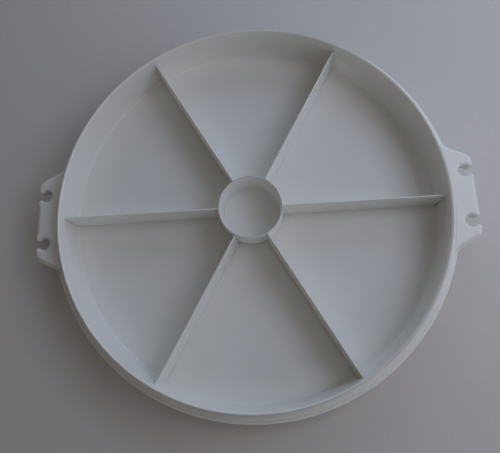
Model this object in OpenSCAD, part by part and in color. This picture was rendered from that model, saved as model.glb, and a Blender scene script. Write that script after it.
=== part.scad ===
// Chip and dip server: a round six-compartment serving tray with two
// notched carrying ears and a lift-out dip cup standing in the middle.
// Millimetres, +Z up. Origin: centre of the tray, on the surface it
// stands on. +X runs through the right ear, along a divider.

/* [Tray] */
// Outer diameter over the rim bead
rim_d = 305; // [290:1:320]
// Height of the rim above the table
tray_h = 36; // [32:0.5:44]
// Thickness of the tray floor
floor_t = 1.8; // [1.4:0.1:2.6]
// Gap between the tray floor and the table
foot_h = 1.4; // [1:0.1:3]

/* [Outer wall] */
// Wall thickness just under the rim
wall_top_t = 1.5; // [1.2:0.1:2.2]
// Wall thickness just above the floor
wall_foot_t = 2.1; // [1.8:0.1:3]
// How far the rim bead stands out past the wall
bead_out = 0.5; // [0.3:0.1:1]
// Height of the rim bead
bead_h = 3; // [2:0.5:5]
// Radius that rounds the rim towards the inside
rim_round = 1.6; // [0.8:0.1:1.7]
// Radius of the cove between wall and floor
cove_r = 2.2; // [1:0.2:4]

/* [Seal flange] */
// How far the flange's top lies below the rim
flange_drop = 10; // [8:0.5:14]
// How far the flange reaches past the rim
flange_out = 8.5; // [8.2:0.1:12]
// Plate thickness of flange and ears
flange_t = 1.8; // [1.4:0.1:2.4]
// Depth of the turned-down edge of flange and ears
skirt_h = 9; // [8:0.5:11]
// How far the step in the flange lies inside its outer edge
step_in = 2.6; // [2.2:0.1:4]
// Height of the step between the flange's top and its lip
step_h = 2.4; // [1.5:0.1:4]
// Radius of the lip's rounded edge
flange_round = 1.1; // [0.5:0.1:1.6]

/* [Ears] */
// Tip-to-tip width over both ears
ear_span = 350; // [345:1:356]
// Half length of an ear where its slanted side meets the tip line
ear_half = 32.5; // [31:0.1:36]
// Rise of the slanted side per millimetre towards the tray
ear_slope = 0.5; // [0.4:0.02:0.8]
// Radius of the ear's two outer corners
ear_round = 7; // [4:0.5:8]
// Bevel along the ear's top edges
ear_bevel = 2.6; // [1:0.1:3]
// Distance of each notch from the ear's middle
notch_y = 20; // [18:0.5:21]
// Distance of the notch centre from the ear's tip line
notch_in = 7.2; // [6.8:0.1:7.6]
// Radius of the round notch
notch_r = 4.6; // [4.2:0.1:4.8]
// Radius of the lips beside the notch's mouth
lip_r = 2.6; // [2.2:0.1:2.8]

/* [Dividers] */
// Number of compartments
sectors = 6; // [3:1:8]
// How far the dividers' tops lie below the rim
divider_drop = 7.2; // [4:0.1:10]
// Divider thickness at its top edge
divider_top_t = 1; // [0.8:0.1:1.6]
// Divider thickness at the floor
divider_foot_t = 1.7; // [1.6:0.1:3]

/* [Dip cup] */
// Outer diameter of the cup
cup_d = 50.8; // [44:0.2:64]
// How far the cup's lip lies below the tray's rim
cup_drop = 6.1; // [2:0.1:10]
// Wall thickness at the cup's lip
cup_lip_t = 1.1; // [0.9:0.1:1.6]
// Wall thickness at the cup's floor
cup_foot_t = 1.7; // [1.6:0.1:2.6]
// Thickness of the cup's floor
cup_floor_t = 1.4; // [1:0.1:2.4]
// Height of the foot rim under the cup's floor
cup_foot_h = 0.8; // [0.4:0.1:1.6]
// Play between the cup and the divider ends
cup_play = 0.3; // [0.2:0.05:0.8]

/* [Hidden] */
$fn = 180;
cup_seat_gap = 0.1;
tray_white = [0.90, 0.91, 0.92];
cup_white = [0.93, 0.93, 0.93];

floor_z0 = foot_h;
floor_z = foot_h + floor_t;
bead_r = rim_d / 2;
wall_r = bead_r - bead_out;
wall_in_top = bead_r - bead_out - wall_top_t;
wall_in_foot = wall_r - wall_foot_t;
cove_in = wall_in_foot - cove_r;
foot_r_out = cove_in - 5.5;
foot_w = 3;

flange_z = tray_h - flange_drop;
flange_r = bead_r + flange_out;
skirt_z = flange_z - skirt_h;

ear_tip = ear_span / 2;
notch_x = ear_tip - notch_in;
// the lips touch the notch's circle from outside, so it runs smoothly into them
lip_dx = notch_in - lip_r;
lip_y = sqrt(pow(notch_r + lip_r, 2) - pow(lip_dx, 2));

divider_z = tray_h - divider_drop;
cup_r = cup_d / 2;
cup_z0 = floor_z + cup_seat_gap;
cup_z = tray_h - cup_drop;
cup_floor_z = cup_z0 + cup_foot_h + cup_floor_t;

// points of an arc about [x, z], from angle a to angle b
function arc(x, z, r, a, b, n = 6) =
    [for (i = [0:n]) let (t = a + (b - a) * i / n) [x + r * cos(t), z + r * sin(t)]];

// inner face of the tray from the floor up, as radius and height
function inner_face(top) = concat(
    arc(cove_in, floor_z + cove_r, cove_r, -90, 0),
    [[wall_in_top, top]]);

// the space inside the outer wall, used to end the dividers on it
module inside() {
    rotate_extrude()
        polygon(concat([[0, floor_z]], inner_face(tray_h - 1), [[0, tray_h - 1]]));
}

module tray_floor() {
    color(tray_white)
        translate([0, 0, floor_z0]) cylinder(r = cove_in, h = floor_t);
}

module outer_wall() {
    edge = bead_r - wall_in_top - rim_round;
    color(tray_white)
        rotate_extrude()
            polygon(concat(
                [[cove_in, floor_z0]],
                inner_face(tray_h - rim_round),
                arc(wall_in_top + rim_round, tray_h - rim_round, rim_round, 180, 90, 6),
                arc(bead_r - edge, tray_h - edge, edge, 80, 0, 4),
                [[bead_r, tray_h - bead_h], [wall_r, tray_h - bead_h - bead_out],
                 [wall_r, floor_z0 + 1.8], [wall_r - 1.8, floor_z0]]));
}

// outer side of the flange, from its flat top over the step and the lip
function flange_edge() = concat(
    arc(flange_r - step_in - 1.3, flange_z - 0.8, 0.8, 90, 15, 4),
    [[flange_r - step_in, flange_z - step_h]],
    arc(flange_r - flange_round, flange_z - step_h - flange_round, flange_round, 90, 0, 5));

// ledge round the wall, with a step down to a lip and a turned-down edge
module seal_flange() {
    color(tray_white)
        rotate_extrude()
            polygon(concat(
                [[wall_r, flange_z - flange_t], [wall_r, flange_z]],
                flange_edge(),
                [[flange_r, skirt_z], [flange_r - flange_t, skirt_z],
                 [flange_r - flange_t, flange_z - step_h - flange_t],
                 [flange_r - step_in - flange_t, flange_z - step_h - flange_t],
                 [flange_r - step_in - 0.5 - flange_t, flange_z - flange_t]]));
}

// plan outline of an ear without its notches, drawn inwards by d
module ear_plan(d = 0) {
    s = atan(ear_slope);
    // centre of the corner round, tangent to the tip line and the slanted side
    cx = ear_tip - ear_round;
    cy = ear_half + ear_slope * ear_round - ear_round / cos(s);
    r = ear_round - d;
    root = flange_r - 12;
    ry = ear_half + ear_slope * (ear_tip - root) - d / cos(s);
    polygon([[root, -ry], [cx + r * sin(s), -cy - r * cos(s)], [cx, -cy],
             [cx + r, -cy], [cx + r, cy], [cx, cy],
             [cx + r * sin(s), cy + r * cos(s)], [root, ry]]);
    for (k = [-1, 1]) translate([cx, k * cy]) circle(r = r);
}

// half space over a bevel; the edge runs along Y, with the ear at x < 0
module bevel() {
    translate([-ear_bevel, 0, 0]) rotate([0, 45, 0]) translate([0, -60, 0])
        cube([3 * ear_bevel, 120, 3 * ear_bevel]);
}

// C-shaped notch open to the ear's tip
module notch_cut() {
    circle(r = notch_r);
    polygon([[0, 0], [lip_dx, -lip_y], [notch_in + 2, -lip_y], [notch_in + 2, lip_y], [lip_dx, lip_y]]);
}

module notch_lips() {
    for (s = [-1, 1]) translate([lip_dx, s * lip_y]) circle(r = lip_r);
}

module ear() {
    difference() {
        translate([0, 0, skirt_z]) linear_extrude(height = skirt_h) {
            difference() {
                ear_plan();
                for (s = [-1, 1]) translate([notch_x, s * notch_y]) notch_cut();
            }
            for (s = [-1, 1]) translate([notch_x, s * notch_y]) notch_lips();
        }
        // hollow underside, with solid bosses left round the notches
        translate([0, 0, skirt_z - 1]) linear_extrude(height = skirt_h - flange_t + 1)
            difference() {
                ear_plan(flange_t);
                for (s = [-1, 1]) translate([notch_x, s * notch_y]) {
                    circle(r = notch_r + flange_t);
                    translate([0, -notch_r - flange_t])
                        square([notch_in + 2, 2 * (notch_r + flange_t)]);
                }
            }
        translate([ear_tip, 0, flange_z]) bevel();
        for (m = [0, 1]) mirror([0, m, 0])
            translate([ear_tip, ear_half, flange_z])
                rotate([0, 0, 90 - atan(ear_slope)]) bevel();
        // the flange the ear grows out of
        rotate_extrude()
            polygon(concat([[0, skirt_z - 2], [0, flange_z]], flange_edge(),
                [[flange_r, skirt_z - 2]]));
    }
}

module right_ear() { color(tray_white) ear(); }
module left_ear() { color(tray_white) mirror([1, 0, 0]) ear(); }

// upright wall from the cup's place to the outer wall
module divider(k) {
    color(tray_white)
        rotate([0, 0, k * 360 / sectors])
            intersection() {
                difference() {
                    rotate([90, 0, 90]) linear_extrude(height = bead_r)
                        polygon([[-divider_foot_t / 2, floor_z], [divider_foot_t / 2, floor_z],
                                 [divider_top_t / 2, divider_z], [-divider_top_t / 2, divider_z]]);
                    cylinder(r = cup_r + cup_play, h = tray_h);
                }
                inside();
            }
}

module foot_ring() {
    color(tray_white)
        difference() {
            cylinder(r = foot_r_out, h = foot_h);
            translate([0, 0, -1]) cylinder(r = foot_r_out - foot_w, h = foot_h + 2);
        }
}

// loose cup for the dip, standing on the tray floor between the divider ends
module dip_cup() {
    half = cup_lip_t / 2;
    in_r = cup_r - cup_foot_t;
    fr = 1.5;
    color(cup_white)
        rotate_extrude()
            polygon(concat(
                [[0, cup_floor_z - cup_floor_t], [cup_r - 3.4, cup_floor_z - cup_floor_t],
                 [cup_r - 3.4, cup_z0], [cup_r - 1.2, cup_z0], [cup_r, cup_z0 + 1.2]],
                arc(cup_r - half, cup_z - half, half, 0, 180, 6),
                arc(in_r - fr, cup_floor_z + fr, fr, 0, -90),
                [[0, cup_floor_z]]));
}

tray_floor();
outer_wall();
seal_flange();
left_ear();
right_ear();
divider(0);  // divider_1
divider(1);  // divider_2
divider(2);  // divider_3
divider(3);  // divider_4
divider(4);  // divider_5
divider(5);  // divider_6
foot_ring();
dip_cup();
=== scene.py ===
import math

import bmesh
import bpy
import numpy as np
from mathutils import Matrix, Vector
from mathutils.geometry import delaunay_2d_cdt


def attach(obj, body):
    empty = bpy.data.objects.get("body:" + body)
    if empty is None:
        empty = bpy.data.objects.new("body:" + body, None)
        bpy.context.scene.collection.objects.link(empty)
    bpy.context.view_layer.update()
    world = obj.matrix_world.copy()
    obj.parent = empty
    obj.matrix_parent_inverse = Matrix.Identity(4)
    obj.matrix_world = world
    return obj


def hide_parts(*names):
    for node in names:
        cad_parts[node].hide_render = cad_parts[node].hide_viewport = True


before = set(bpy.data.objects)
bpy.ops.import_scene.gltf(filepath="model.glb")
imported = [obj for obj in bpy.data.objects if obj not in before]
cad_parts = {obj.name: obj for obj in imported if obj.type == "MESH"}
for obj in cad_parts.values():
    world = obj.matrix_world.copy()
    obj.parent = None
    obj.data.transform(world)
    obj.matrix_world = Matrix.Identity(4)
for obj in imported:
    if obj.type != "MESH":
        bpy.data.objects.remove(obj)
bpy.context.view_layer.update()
MM = 0.001

# ---------------------------------------------------------------- dimensions (mm), as in the CAD
FLOOR_Z0, FLOOR_Z = 1.4, 3.2
RIM_Z, RIM_R = 36.0, 152.5
WALL_R = 152.0
WALL_IN_TOP, WALL_IN_FOOT = 150.5, 149.9
COVE_R, COVE_X, COVE_Z = 2.2, 147.7, 5.4
FLANGE_Z, FLANGE_R, SKIRT_Z, PLATE = 26.0, 161.0, 17.0, 1.8
DIV_Z, DIV_TOP, DIV_FOOT = 28.8, 1.0, 1.7
CUP_R, CUP_Z0, CUP_Z, CUP_FLOOR = 25.4, 3.3, 29.9, 5.5
EAR_TIP, EAR_HALF, EAR_SLOPE, EAR_ROUND = 175.0, 32.5, 0.5, 7.0
NOTCH_X, NOTCH_Y, NOTCH_R, LIP_R = 167.8, 20.0, 4.6, 2.6


# ---------------------------------------------------------------- mesh helpers
def obj_from(name, verts, faces, smooth=True):
    me = bpy.data.meshes.new(name)
    me.from_pydata([tuple(float(c) * MM for c in v) for v in verts], [], faces)
    me.validate()
    bm = bmesh.new()
    bm.from_mesh(me)
    bmesh.ops.remove_doubles(bm, verts=bm.verts, dist=1e-7)
    bmesh.ops.recalc_face_normals(bm, faces=bm.faces)
    bm.to_mesh(me)
    bm.free()
    for p in me.polygons:
        p.use_smooth = smooth
    o = bpy.data.objects.new(name, me)
    bpy.context.scene.collection.objects.link(o)
    return o


def rounded(points, hold=0.3, step=9.0):
    """Polyline through corners (a, b, radius), each corner rounded, with a loop held close to each arc's ends."""
    pts = [np.array(p[:2], float) for p in points]
    rad = [p[2] if len(p) > 2 else 0.0 for p in points]
    out = [pts[0]]
    n = len(pts)
    for i in range(1, n - 1):
        a, b, c = pts[i - 1], pts[i], pts[i + 1]
        u, v = a - b, c - b
        lu, lv = np.linalg.norm(u), np.linalg.norm(v)
        u, v = u / lu, v / lv
        ang = math.acos(max(-1.0, min(1.0, float(u @ v))))
        if rad[i] <= 0 or ang > math.pi - 0.01:
            out.append(b)
            continue
        t = rad[i] / math.tan(ang / 2)
        p0, p1 = b + u * t, b + v * t
        centre = b + (u + v) / np.linalg.norm(u + v) * rad[i] / math.sin(ang / 2)
        if lu - t > 2.5 * hold:
            out.append(p0 + u * hold)
        a0 = math.atan2(*(p0 - centre)[::-1])
        a1 = math.atan2(*(p1 - centre)[::-1])
        d = (a1 - a0 + math.pi) % (2 * math.pi) - math.pi
        m = max(3, int(math.ceil(abs(math.degrees(d)) / step)))
        for k in range(m + 1):
            w = a0 + d * k / m
            out.append(centre + rad[i] * np.array([math.cos(w), math.sin(w)]))
        if lv - t > 2.5 * hold:
            out.append(p1 + v * hold)
    out.append(pts[-1])
    return out


def lathe(name, profile, n=384):
    """Turns a profile of (r, z) round Z. Points on the axis become one vertex."""
    verts, rings = [], []
    for r, z in profile:
        if r < 1e-6:
            rings.append([len(verts)])
            verts.append((0, 0, z))
        else:
            start = len(verts)
            for k in range(n):
                t = 2 * math.pi * k / n
                verts.append((r * math.cos(t), r * math.sin(t), z))
            rings.append(list(range(start, start + n)))
    faces = []
    for a, b in zip(rings, rings[1:]):
        for k in range(n):
            j = (k + 1) % n
            if len(a) == 1 and len(b) == 1:
                continue
            if len(a) == 1:
                faces.append((a[0], b[k], b[j]))
            elif len(b) == 1:
                faces.append((a[k], b[0], a[j]))
            else:
                faces.append((a[k], b[k], b[j], a[j]))
    return obj_from(name, verts, faces)


# ---------------------------------------------------------------- the tray moulding
def tray_shell():
    foot = 142.2
    prof = rounded([
        (0, FLOOR_Z), (40, FLOOR_Z, 0), (90, FLOOR_Z, 0), (130, FLOOR_Z, 0),
        (149.86, FLOOR_Z, COVE_R),
        (WALL_IN_TOP, RIM_Z, 1.58),
        (RIM_R, RIM_Z, 0.38),
        (RIM_R, 33.2, 0.8),
        (WALL_R - 0.05, 32.3, 0.6),
        (WALL_R, FLANGE_Z, 1.0),
        (157.9, FLANGE_Z, 0.9),
        (158.7, 23.9, 0.6),
        (160.95, 23.55, 1.1),
        (160.95, SKIRT_Z, 0.55),
        (159.25, SKIRT_Z, 0.5),
        (159.15, 21.7, 0.8),
        (157.0, 22.0, 1.4),
        (156.4, 24.2, 1.0),
        (WALL_R, 24.2, 1.2),
        (WALL_R - 0.1, 1.4, 2.4),
        (foot, 1.4, 0.4),
        (foot - 0.15, 0.0, 0.45),
        (foot - 2.85, 0.0, 0.45),
        (foot - 3.0, 1.4, 0.4),
        (120, 1.4, 0), (80, 1.4, 0), (40, 1.4, 0),
        (0, 1.4)])
    return lathe("tray_shell", prof, 432)


def inner_x(z):
    """Radius of the tray's inner face at height z, cove included."""
    if z >= COVE_Z:
        return WALL_IN_FOOT + (z - COVE_Z) * (WALL_IN_TOP - WALL_IN_FOOT) / (RIM_Z - COVE_Z)
    h = min(COVE_R, COVE_Z - z)
    return COVE_X + math.sqrt(max(0.0, COVE_R ** 2 - h ** 2))


def wall_dist(x, z):
    """Distance from the floor, cove and wall, positive in the open."""
    if x > COVE_X and z < COVE_Z:
        return COVE_R - math.hypot(x - COVE_X, z - COVE_Z)
    return min(z - FLOOR_Z, inner_x(max(z, COVE_Z)) - x)


def flare(d, rf):
    d = max(0.0, d)
    return 0.0 if d >= rf else rf - math.sqrt(max(0.0, rf * rf - (rf - d) ** 2))


def rib(name, k, rf=1.1):
    """One upright divider with a filleted foot, a filleted outer end, a rounded top and a rounded inner end."""
    top_r = 0.42
    x_in = CUP_R + 0.3
    arc = [math.radians(a) for a in (90, 82, 74, 65, 56, 46, 35, 24, 12, 0)]
    zs = [2.3, FLOOR_Z - 0.03] + [FLOOR_Z + rf * (1 - math.sin(t)) for t in arc]
    zs += [FLOOR_Z + rf + 0.25]
    zs += list(np.linspace(FLOOR_Z + rf + 2.5, DIV_Z - top_r - 0.6, 9)) + [DIV_Z - top_r - 0.15]
    outer = [1.6, rf + 0.2] + [rf * (1 - math.sin(t)) for t in reversed(arc)] + [-0.35, -0.8]
    n_in = 34
    cols = []                       # each entry gives x for a height, and the scale of the half thickness
    half_in = 0.6
    for a in (0, 18, 36, 54, 72, 90):
        t = math.radians(a)
        cols.append(("in", half_in * (1 - math.cos(t)), max(0.02, math.sin(t))))
    for i in range(1, n_in + 1):
        cols.append(("run", i / n_in, 1.0))
    for d in outer[1:]:
        cols.append(("out", d, 1.0))

    def x_at(col, z):
        kind, v, _ = col
        xw = inner_x(max(z, FLOOR_Z))
        if kind == "in":
            return x_in + v
        if kind == "run":
            x0 = x_in + half_in
            return x0 + v * (xw - outer[0] - x0)
        return xw - v

    def half_at(x, z, col):
        w = DIV_FOOT + (DIV_TOP - DIV_FOOT) * (z - FLOOR_Z) / (DIV_Z - FLOOR_Z)
        return (w / 2) * col[2] + flare(wall_dist(x, z), rf) * (col[2] if col[0] == "in" else 1.0)

    verts, rings = [], []
    for col in cols:
        ring = []
        side = []
        for z in zs:
            x = x_at(col, z)
            side.append((x, half_at(x, z, col), z))
        zt = DIV_Z - top_r
        crown = []
        for a in (0, 20, 40, 60, 80):
            t = math.radians(a)
            z = zt + top_r * math.sin(t)
            x = x_at(col, z)
            base = half_at(x, zt, col)
            crown.append((x, max(0.0, base - top_r * (1 - math.cos(t)) * min(1.0, base / 0.5)), z))
        x = x_at(col, DIV_Z)
        loop = side + crown + [(x, 0.0, DIV_Z)] + [(p[0], -p[1], p[2]) for p in reversed(crown)] \
            + [(p[0], -p[1], p[2]) for p in reversed(side)]
        for p in loop:
            ring.append(len(verts))
            verts.append(p)
        rings.append(ring)
    faces = []
    m = len(rings[0])
    for a, b in zip(rings, rings[1:]):
        for j in range(m):
            i = (j + 1) % m
            faces.append((a[j], b[j], b[i], a[i]))
    faces.append(tuple(rings[0]))
    faces.append(tuple(reversed(rings[-1])))
    c, s = math.cos(math.radians(60 * k)), math.sin(math.radians(60 * k))
    verts = [(x * c - y * s, x * s + y * c, z) for x, y, z in verts]
    return obj_from(name, verts, faces)


# ---------------------------------------------------------------- the ears
# cross-sections of an edge, from the flat top down: (inset from the outline, drop from the top)
EDGE_FLANGE = [(3.95, 0.0), (3.5, 0.06), (3.12, 0.30), (2.95, 0.75), (2.62, 1.6), (2.35, 2.0),
               (1.9, 2.2), (1.3, 2.3), (0.7, 2.5), (0.2, 2.9), (0.0, 3.6)]
EDGE_SLOPED = [(3.75, 0.0), (3.35, 0.05), (2.95, 0.25), (2.4, 0.8), (1.8, 1.4), (1.2, 2.0),
               (0.8, 2.4), (0.5, 2.75), (0.25, 3.15), (0.08, 3.6), (0.0, 4.1)]
EDGE_ROUND = [(3.9, 0.0), (3.3, 0.09), (2.7, 0.28), (2.1, 0.58), (1.6, 0.93), (1.15, 1.33),
              (0.8, 1.73), (0.5, 2.2), (0.25, 2.75), (0.08, 3.4), (0.0, 4.1)]
EDGE_NOTCH = [(1.9, 0.0), (1.5, 0.06), (1.1, 0.21), (0.8, 0.39), (0.55, 0.62), (0.35, 0.88),
              (0.2, 1.18), (0.1, 1.5), (0.03, 1.9), (0.0, 2.4), (0.0, 2.9)]


def ear_outline():
    """Plan outline of the right ear, from where it leaves the flange in the north, round the tip, to the south.
    Each point is (x, y, nx, ny, (weights of the four edge cross-sections))."""
    a = math.atan(EAR_SLOPE)
    nx, ny = math.sin(a), math.cos(a)
    cx = EAR_TIP - EAR_ROUND
    cy = EAR_HALF + EAR_SLOPE * EAR_ROUND - EAR_ROUND / math.cos(a)
    pts = []

    def smooth(t):
        t = max(0.0, min(1.0, t))
        return t * t * (3 - 2 * t)

    def mix(p, q, t):
        return tuple(u + (v - u) * smooth(t) for u, v in zip(p, q))

    fl, sl, ro, no = (1, 0, 0, 0), (0, 1, 0, 0), (0, 0, 1, 0), (0, 0, 0, 1)

    def line(p, q, n, nrm, w0, w1, last=False):
        for i in range(n + (1 if last else 0)):
            t = i / n
            pts.append((p[0] + (q[0] - p[0]) * t, p[1] + (q[1] - p[1]) * t, nrm[0], nrm[1], mix(w0, w1, t)))

    def arc(c, r, t0, t1, n, sign, w0, w1):
        for i in range(n):
            t = math.radians(t0 + (t1 - t0) * i / n)
            pts.append((c[0] + r * math.cos(t), c[1] + r * math.sin(t),
                        sign * math.cos(t), sign * math.sin(t), mix(w0, w1, i / n)))

    # hollow round between the flange and the slanted side
    rho = 9.0
    rf = FLANGE_R - 0.05
    d0 = nx * EAR_TIP + ny * EAR_HALF
    tau = math.sqrt((rf + rho) ** 2 - (d0 + rho) ** 2)
    hx, hy = (d0 + rho) * nx + tau * math.cos(a), (d0 + rho) * ny - tau * math.sin(a)
    t_a = math.degrees(math.atan2(-hy, -hx))
    t_b = math.degrees(math.atan2(-ny, -nx))
    arc((hx, hy), rho, t_a, t_b, 14, -1, fl, sl)
    on_line = (hx - rho * nx, hy - rho * ny)
    a_side = 90 - math.degrees(a)
    corner = (cx + EAR_ROUND * nx, cy + EAR_ROUND * ny)
    line(on_line, corner, 12, (nx, ny), sl, sl)
    arc((cx, cy), EAR_ROUND, a_side, 0, 18, 1, sl, ro)
    lx, dx = EAR_TIP - LIP_R, EAR_TIP - LIP_R - NOTCH_X
    ly = math.sqrt((NOTCH_R + LIP_R) ** 2 - dx ** 2)
    th = math.degrees(math.atan2(ly, dx))
    half = (0, 0, 0.35, 0.65)
    line((EAR_TIP, cy), (EAR_TIP, NOTCH_Y + ly), 5, (1, 0), ro, half)
    for sgn in (1, -1):
        y0 = sgn * NOTCH_Y
        arc((lx, y0 + ly), LIP_R, 0, th - 180, 16, 1, half, no)
        arc((NOTCH_X, y0), NOTCH_R, th, 360 - th, 44, -1, no, no)
        arc((lx, y0 - ly), LIP_R, 180 - th, 0, 16, 1, no, half)
        if sgn > 0:
            ya, yb = y0 - ly, -NOTCH_Y + ly
            line((EAR_TIP, ya), (EAR_TIP, ya - 5), 8, (1, 0), half, ro)
            line((EAR_TIP, ya - 5), (EAR_TIP, yb + 5), 14, (1, 0), ro, ro)
            line((EAR_TIP, yb + 5), (EAR_TIP, yb), 8, (1, 0), ro, half)
    line((EAR_TIP, -NOTCH_Y - ly), (EAR_TIP, -cy), 5, (1, 0), half, ro)
    arc((cx, -cy), EAR_ROUND, 0, -a_side, 18, 1, ro, sl)
    line((cx + EAR_ROUND * nx, -cy - EAR_ROUND * ny), (on_line[0], -on_line[1]), 12, (nx, -ny), sl, sl)
    arc((hx, -hy), rho, -t_b, -t_a, 14, -1, sl, fl)
    t = math.radians(-t_a)
    pts.append((hx + rho * math.cos(t), -hy + rho * math.sin(t), -math.cos(t), -math.sin(t), fl))
    return pts


def ear(name, mirror):
    """An ear: rounded and sloped edges, two notches, hollow underneath, its root sunk in the flange."""
    plan = ear_outline()
    n = len(plan)
    kinds = (EDGE_FLANGE, EDGE_SLOPED, EDGE_ROUND, EDGE_NOTCH)
    rings = []                                   # (points, height that sets the root's radius)
    for j in range(len(EDGE_NOTCH)):
        ring = []
        for x, y, nx, ny, w in plan:
            i = sum(wk * k[j][0] for wk, k in zip(w, kinds))
            dz = sum(wk * k[j][1] for wk, k in zip(w, kinds))
            ring.append((x - nx * i, y - ny * i, FLANGE_Z - dz - 0.02 * w[0]))
        rings.append((ring, FLANGE_Z - EDGE_FLANGE[j][1] - (0.03 if j == 0 else 0.0)))
    low = SKIRT_Z
    under = FLANGE_Z - 3.9
    for inset, z in ((0.0, 20.5), (0.0, low + 0.55), (0.05, low + 0.28), (0.2, low + 0.1), (0.5, low),
                     (1.1, low), (1.42, low + 0.1), (1.58, low + 0.3), (1.62, low + 0.7), (1.7, under)):
        rings.append(([(x - nx * inset, y - ny * inset, z) for x, y, nx, ny, w in plan], z))
    heights = [17.0, 21.5, 22.3, 23.6, 24.6, 26.0]
    radii = [160.1, 159.9, 158.6, 157.6, 157.1, 156.9]
    n_root = 40
    verts, faces, idx = [], [], []
    for ring, zr in rings:
        r0 = float(np.interp(zr, heights, radii)) if zr > low + 0.01 or ring[0][2] > low + 0.6 else 160.1
        if zr == under:
            r0 = 160.1
        pts = [list(p) for p in ring]
        # points nearer the axis than the root gather where the outline crosses it
        for rng in (range(n), range(n - 1, -1, -1)):
            seen = None
            for i in rng:
                if math.hypot(pts[i][0], pts[i][1]) >= r0:
                    seen = i
                    break
            first = seen
            step = 1 if rng.step > 0 else -1
            prev = first - step
            if 0 <= prev < n:
                ra, rb = math.hypot(*pts[prev][:2]), math.hypot(*pts[first][:2])
                t = (r0 - ra) / (rb - ra)
                q = [pts[prev][c] + (pts[first][c] - pts[prev][c]) * t for c in range(3)]
                j = prev
                while 0 <= j < n:
                    pts[j] = list(q)
                    j -= step
        a0 = math.atan2(pts[0][1], pts[0][0])
        a1 = math.atan2(pts[-1][1], pts[-1][0])
        for i in range(n_root + 1):
            t = a1 + (a0 - a1) * i / n_root
            pts.append([r0 * math.cos(t), r0 * math.sin(t), zr])
        idx.append(list(range(len(verts), len(verts) + len(pts))))
        verts.extend(pts)
    m = len(idx[0])
    for a, b in zip(idx, idx[1:]):
        for i in range(m):
            k = (i + 1) % m
            faces.append((a[i], b[i], b[k], a[k]))

    def cap(ids, z, flip, spacing):
        clean = []
        for i in ids:
            p = Vector((verts[i][0], verts[i][1]))
            if clean and (p - clean[-1][1]).length < 0.004:
                continue
            clean.append((i, p))
        if (clean[0][1] - clean[-1][1]).length < 0.004:
            clean.pop()
        edge = [p for _, p in clean]
        src_ids = [i for i, _ in clean]
        k = len(edge)
        poly = np.array([(p.x, p.y) for p in edge])
        extra = []
        if spacing:
            hi_x, hi_y = poly[:, 0].max(), poly[:, 1].max()
            lo_x = poly[:, 0].min()
            for y in np.arange(-hi_y + 0.5 * spacing, hi_y, spacing):
                for r in [157.45, 158.0] + list(np.arange(160.0, hi_x + 4, spacing)):
                    x = math.sqrt(r * r - y * y)
                    if inside(poly, x, y) and np.min(np.hypot(poly[:, 0] - x, poly[:, 1] - y)) > (0.3 if r < 159 else 0.6 * spacing):
                        extra.append(Vector((float(x), float(y))))
        co, _, fs, ov, _, _ = delaunay_2d_cdt(edge + extra, [(i, (i + 1) % k) for i in range(k)], [], 1, 1e-5)
        back = []
        for q, c in enumerate(co):
            src = [v for v in ov[q] if v < k]
            if src:
                back.append(src_ids[src[0]])
            else:
                back.append(len(verts))
                verts.append((c.x, c.y, z))
        for f in fs:
            g = tuple(back[i] for i in f)
            faces.append(tuple(reversed(g)) if flip else g)

    cap(idx[0], FLANGE_Z, False, 2.2)
    cap(idx[-1], under, True, 0)
    sx = -1 if mirror else 1
    return obj_from(name, [(sx * x, y, z) for x, y, z in verts], faces)


def inside(poly, x, y):
    hit = False
    x1, y1 = poly[-1]
    for x2, y2 in poly:
        if (y1 > y) != (y2 > y) and x < (x2 - x1) * (y - y1) / (y2 - y1) + x1:
            hit = not hit
        x1, y1 = x2, y2
    return hit


# ---------------------------------------------------------------- the dip cup
def cup():
    prof = rounded([
        (0, CUP_FLOOR), (10, CUP_FLOOR, 0),
        (23.55, CUP_FLOOR, 1.6),
        (24.3, CUP_Z, 0.5),
        (CUP_R, CUP_Z, 0.55),
        (CUP_R, CUP_Z0, 1.2),
        (22.2, CUP_Z0, 0.35),
        (22.0, CUP_Z0 + 0.8, 0.35),
        (10, CUP_Z0 + 0.8, 0),
        (0, CUP_Z0 + 0.8)], hold=0.2)
    return lathe("dip_cup_shell", prof, 192)


# ---------------------------------------------------------------- materials
def new_material(name):
    m = bpy.data.materials.new(name)
    m.use_nodes = True
    nt = m.node_tree
    nt.nodes.clear()
    out = nt.nodes.new("ShaderNodeOutputMaterial")
    bsdf = nt.nodes.new("ShaderNodeBsdfPrincipled")
    nt.links.new(bsdf.outputs[0], out.inputs[0])
    return m, nt, bsdf


def noise(nt, coords, scale, detail=3.0, rough=0.5, stretch=None):
    src = coords
    if stretch:
        mp = nt.nodes.new("ShaderNodeMapping")
        mp.inputs["Scale"].default_value = stretch
        nt.links.new(coords, mp.inputs["Vector"])
        src = mp.outputs["Vector"]
    t = nt.nodes.new("ShaderNodeTexNoise")
    t.inputs["Scale"].default_value = scale
    t.inputs["Detail"].default_value = detail
    t.inputs["Roughness"].default_value = rough
    nt.links.new(src, t.inputs["Vector"])
    return t.outputs["Fac"]


def remap(nt, value, a, b, c, d):
    r = nt.nodes.new("ShaderNodeMapRange")
    r.inputs["From Min"].default_value = a
    r.inputs["From Max"].default_value = b
    r.inputs["To Min"].default_value = c
    r.inputs["To Max"].default_value = d
    nt.links.new(value, r.inputs["Value"])
    return r.outputs["Result"]


def mix_colour(nt, fac, a, b):
    m = nt.nodes.new("ShaderNodeMix")
    m.data_type = "RGBA"
    nt.links.new(fac, m.inputs[0])
    for sock, v in ((m.inputs[6], a), (m.inputs[7], b)):
        if isinstance(v, tuple):
            sock.default_value = v
        else:
            nt.links.new(v, sock)
    return m.outputs[2]


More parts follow.
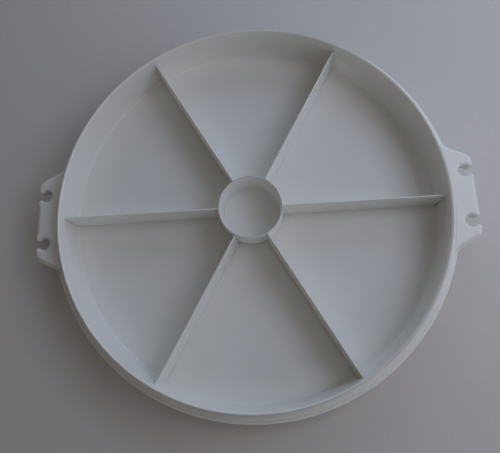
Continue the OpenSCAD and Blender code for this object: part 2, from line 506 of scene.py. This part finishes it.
def plastic(name, light, dark, seed):
    """White satin moulded plastic: faint clouding, mould grain, hair scratches and small scuffs."""
    m, nt, bsdf = new_material(name)
    tc = nt.nodes.new("ShaderNodeTexCoord")
    mp = nt.nodes.new("ShaderNodeMapping")
    mp.inputs["Location"].default_value = (seed, seed * 0.7, seed * 0.3)
    nt.links.new(tc.outputs["Object"], mp.inputs["Vector"])
    co = mp.outputs["Vector"]
    cloud = noise(nt, co, 14.0, 4.0, 0.55)
    patch = noise(nt, co, 55.0, 3.0, 0.6)
    colour = mix_colour(nt, remap(nt, cloud, 0.3, 0.7, 0.0, 1.0), light, dark)
    stain = tuple(c * f for c, f in zip(dark[:3], (0.985, 0.97, 0.93))) + (1.0,)
    colour = mix_colour(nt, remap(nt, patch, 0.62, 0.85, 0.0, 0.5), colour, stain)
    nt.links.new(colour, bsdf.inputs["Base Color"])
    # two sets of hair scratches, each a thin band of a stretched noise
    scratch = None
    for ang, sc, off in ((0.5, 38.0, 0.0), (-0.9, 30.0, 3.0), (1.9, 44.0, 7.0)):
        rot = nt.nodes.new("ShaderNodeMapping")
        rot.inputs["Rotation"].default_value = (0, 0, ang)
        rot.inputs["Location"].default_value = (off, off, off)
        nt.links.new(co, rot.inputs["Vector"])
        f = noise(nt, rot.outputs["Vector"], sc, 2.0, 0.5, (1.0, 26.0, 6.0))
        band = remap(nt, f, 0.66, 0.70, 0.0, 1.0)
        if scratch is None:
            scratch = band
        else:
            mx = nt.nodes.new("ShaderNodeMath")
            mx.operation = "MAXIMUM"
            nt.links.new(scratch, mx.inputs[0])
            nt.links.new(band, mx.inputs[1])
            scratch = mx.outputs[0]
    grain = noise(nt, co, 1500.0, 2.0, 0.6)
    rough_base = remap(nt, cloud, 0.25, 0.75, 0.34, 0.44)
    add = nt.nodes.new("ShaderNodeMath")
    add.operation = "MULTIPLY_ADD"
    nt.links.new(scratch, add.inputs[0])
    add.inputs[1].default_value = 0.12
    nt.links.new(rough_base, add.inputs[2])
    nt.links.new(add.outputs[0], bsdf.inputs["Roughness"])
    b1 = nt.nodes.new("ShaderNodeBump")
    b1.inputs["Strength"].default_value = 0.10
    b1.inputs["Distance"].default_value = 0.00006
    nt.links.new(grain, b1.inputs["Height"])
    b2 = nt.nodes.new("ShaderNodeBump")
    b2.inputs["Strength"].default_value = 0.25
    b2.inputs["Distance"].default_value = 0.00005
    b2.invert = True
    nt.links.new(scratch, b2.inputs["Height"])
    nt.links.new(b1.outputs["Normal"], b2.inputs["Normal"])
    b3 = nt.nodes.new("ShaderNodeBump")
    b3.inputs["Strength"].default_value = 0.35
    b3.inputs["Distance"].default_value = 0.0006
    nt.links.new(noise(nt, co, 9.0, 1.0, 0.4), b3.inputs["Height"])
    nt.links.new(b2.outputs["Normal"], b3.inputs["Normal"])
    nt.links.new(b3.outputs["Normal"], bsdf.inputs["Normal"])
    bsdf.inputs["IOR"].default_value = 1.49
    bsdf.inputs["Subsurface Weight"].default_value = 0.45
    bsdf.inputs["Subsurface Radius"].default_value = (1.0, 0.94, 0.86)
    bsdf.inputs["Subsurface Scale"].default_value = 0.0028
    return m


def table_material():
    m, nt, bsdf = new_material("table_paint")
    tc = nt.nodes.new("ShaderNodeTexCoord")
    co = tc.outputs["Object"]
    cloud = noise(nt, co, 3.0, 4.0, 0.55)
    fine = noise(nt, co, 260.0, 4.0, 0.7)
    base = mix_colour(nt, remap(nt, cloud, 0.3, 0.7, 0.0, 1.0), (0.706, 0.652, 0.602, 1), (0.663, 0.612, 0.570, 1))
    base = mix_colour(nt, remap(nt, fine, 0.35, 0.75, 0.0, 0.25), base, (0.589, 0.542, 0.506, 1))
    nt.links.new(base, bsdf.inputs["Base Color"])
    nt.links.new(remap(nt, fine, 0.3, 0.7, 0.5, 0.62), bsdf.inputs["Roughness"])
    b = nt.nodes.new("ShaderNodeBump")
    b.inputs["Strength"].default_value = 0.12
    b.inputs["Distance"].default_value = 0.0003
    nt.links.new(fine, b.inputs["Height"])
    nt.links.new(b.outputs["Normal"], bsdf.inputs["Normal"])
    return m


tray_mat = plastic("tray_plastic_look", (0.845, 0.825, 0.775, 1), (0.81, 0.79, 0.74, 1), 0.0)
cup_mat = plastic("cup_plastic_look", (0.865, 0.85, 0.805, 1), (0.83, 0.815, 0.77, 1), 5.0)


# ---------------------------------------------------------------- pieces
def place(o, body, mat, slot, *nodes):
    o.data.materials.append(mat)
    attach(o, body)
    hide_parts(*nodes)
    return o


place(tray_shell(), "tray", tray_mat, "tray_plastic", "tray_floor", "outer_wall", "seal_flange", "foot_ring")
for k in range(6):
    place(rib(f"divider_wall_{k + 1}", k), "tray", tray_mat, "tray_plastic", f"divider_{k + 1}")
place(ear("ear_plate_right", False), "tray", tray_mat, "tray_plastic", "right_ear")
place(ear("ear_plate_left", True), "tray", tray_mat, "tray_plastic", "left_ear")
place(cup(), "dip_cup", cup_mat, "cup_plastic", "dip_cup")


# ---------------------------------------------------------------- stage, light, camera
def stage():
    n, half = 60, 4.0
    verts, faces = [], []
    for j in range(n + 1):
        for i in range(n + 1):
            verts.append(((i / n * 2 - 1) * half * 1000, (j / n * 2 - 1) * half * 1000, -0.05))
    for j in range(n):
        for i in range(n):
            a = j * (n + 1) + i
            faces.append((a, a + 1, a + n + 2, a + n + 1))
    o = obj_from("table_top", verts, faces)
    o.data.materials.append(table_material())


stage()


def soft_light(name, az, el, dist, size, watts):
    """A square softbox aimed at the tray; watts is its power in red, green and blue."""
    a, e = math.radians(az), math.radians(el)
    target = Vector((0, 0, 0.02))
    loc = target + Vector((math.cos(a) * math.cos(e), math.sin(a) * math.cos(e), math.sin(e))) * dist
    top = max(watts)
    light = bpy.data.lights.new(name, "AREA")
    light.shape = "SQUARE"
    light.size = size
    light.energy = top
    light.color = tuple(w / top for w in watts)
    o = bpy.data.objects.new(name, light)
    o.location = loc
    o.rotation_euler = (target - loc).to_track_quat("-Z", "Y").to_euler()
    bpy.context.scene.collection.objects.link(o)


soft_light("window_north_east", 45, 25, 1.1, 0.7, (0.86, 1.22, 1.87))
soft_light("window_north", 90, 25, 1.1, 0.7, (1.15, 1.55, 2.11))
soft_light("room_east", 0, 25, 1.1, 0.7, (0.37, 0.43, 0.54))
soft_light("room_south_east", 315, 25, 1.1, 0.7, (0.93, 1.09, 1.38))
soft_light("room_south", 270, 25, 1.1, 0.7, (0.28, 0.29, 0.29))
soft_light("low_east", 0, 13, 0.9, 0.35, (0.21, 0.11, 0.01))
soft_light("low_north", 60, 13, 0.9, 0.35, (0.20, 0.24, 0.18))
soft_light("near_east", 10, 45, 0.65, 0.35, (0.68, 0.75, 0.93))
soft_light("ceiling", 0, 90, 1.2, 0.8, (0.81, 0.84, 0.81))
world = bpy.data.worlds.new("soft_world")
world.use_nodes = True
bg = world.node_tree.nodes["Background"]
bg.inputs[0].default_value = (1.0, 0.754, 0.653, 1)
bg.inputs[1].default_value = 0.059
bpy.context.scene.world = world
bpy.context.scene.view_settings.view_transform = "Standard"

R = 0.1525
cam_data = bpy.data.cameras.new("camera")
cam_data.sensor_width = 36.0
cam_data.lens = 454.0 / 500.0 * 36.0
cam_data.clip_start = 0.01
cam = bpy.data.objects.new("camera", cam_data)
right = Vector((0.99646, -0.04187, -0.07296))
up = Vector((0.0568, 0.97465, 0.21643))
back = Vector((0.06205, -0.21981, 0.97357))
pos = Vector((0.138 * R, -0.612 * R, 2.202 * R + 0.036))
m = Matrix((
    (right.x, up.x, back.x, pos.x),
    (right.y, up.y, back.y, pos.y),
    (right.z, up.z, back.z, pos.z),
    (0, 0, 0, 1)))
cam.matrix_world = m
bpy.context.scene.collection.objects.link(cam)
bpy.context.scene.camera = cam

bpy.context.view_layer.update()
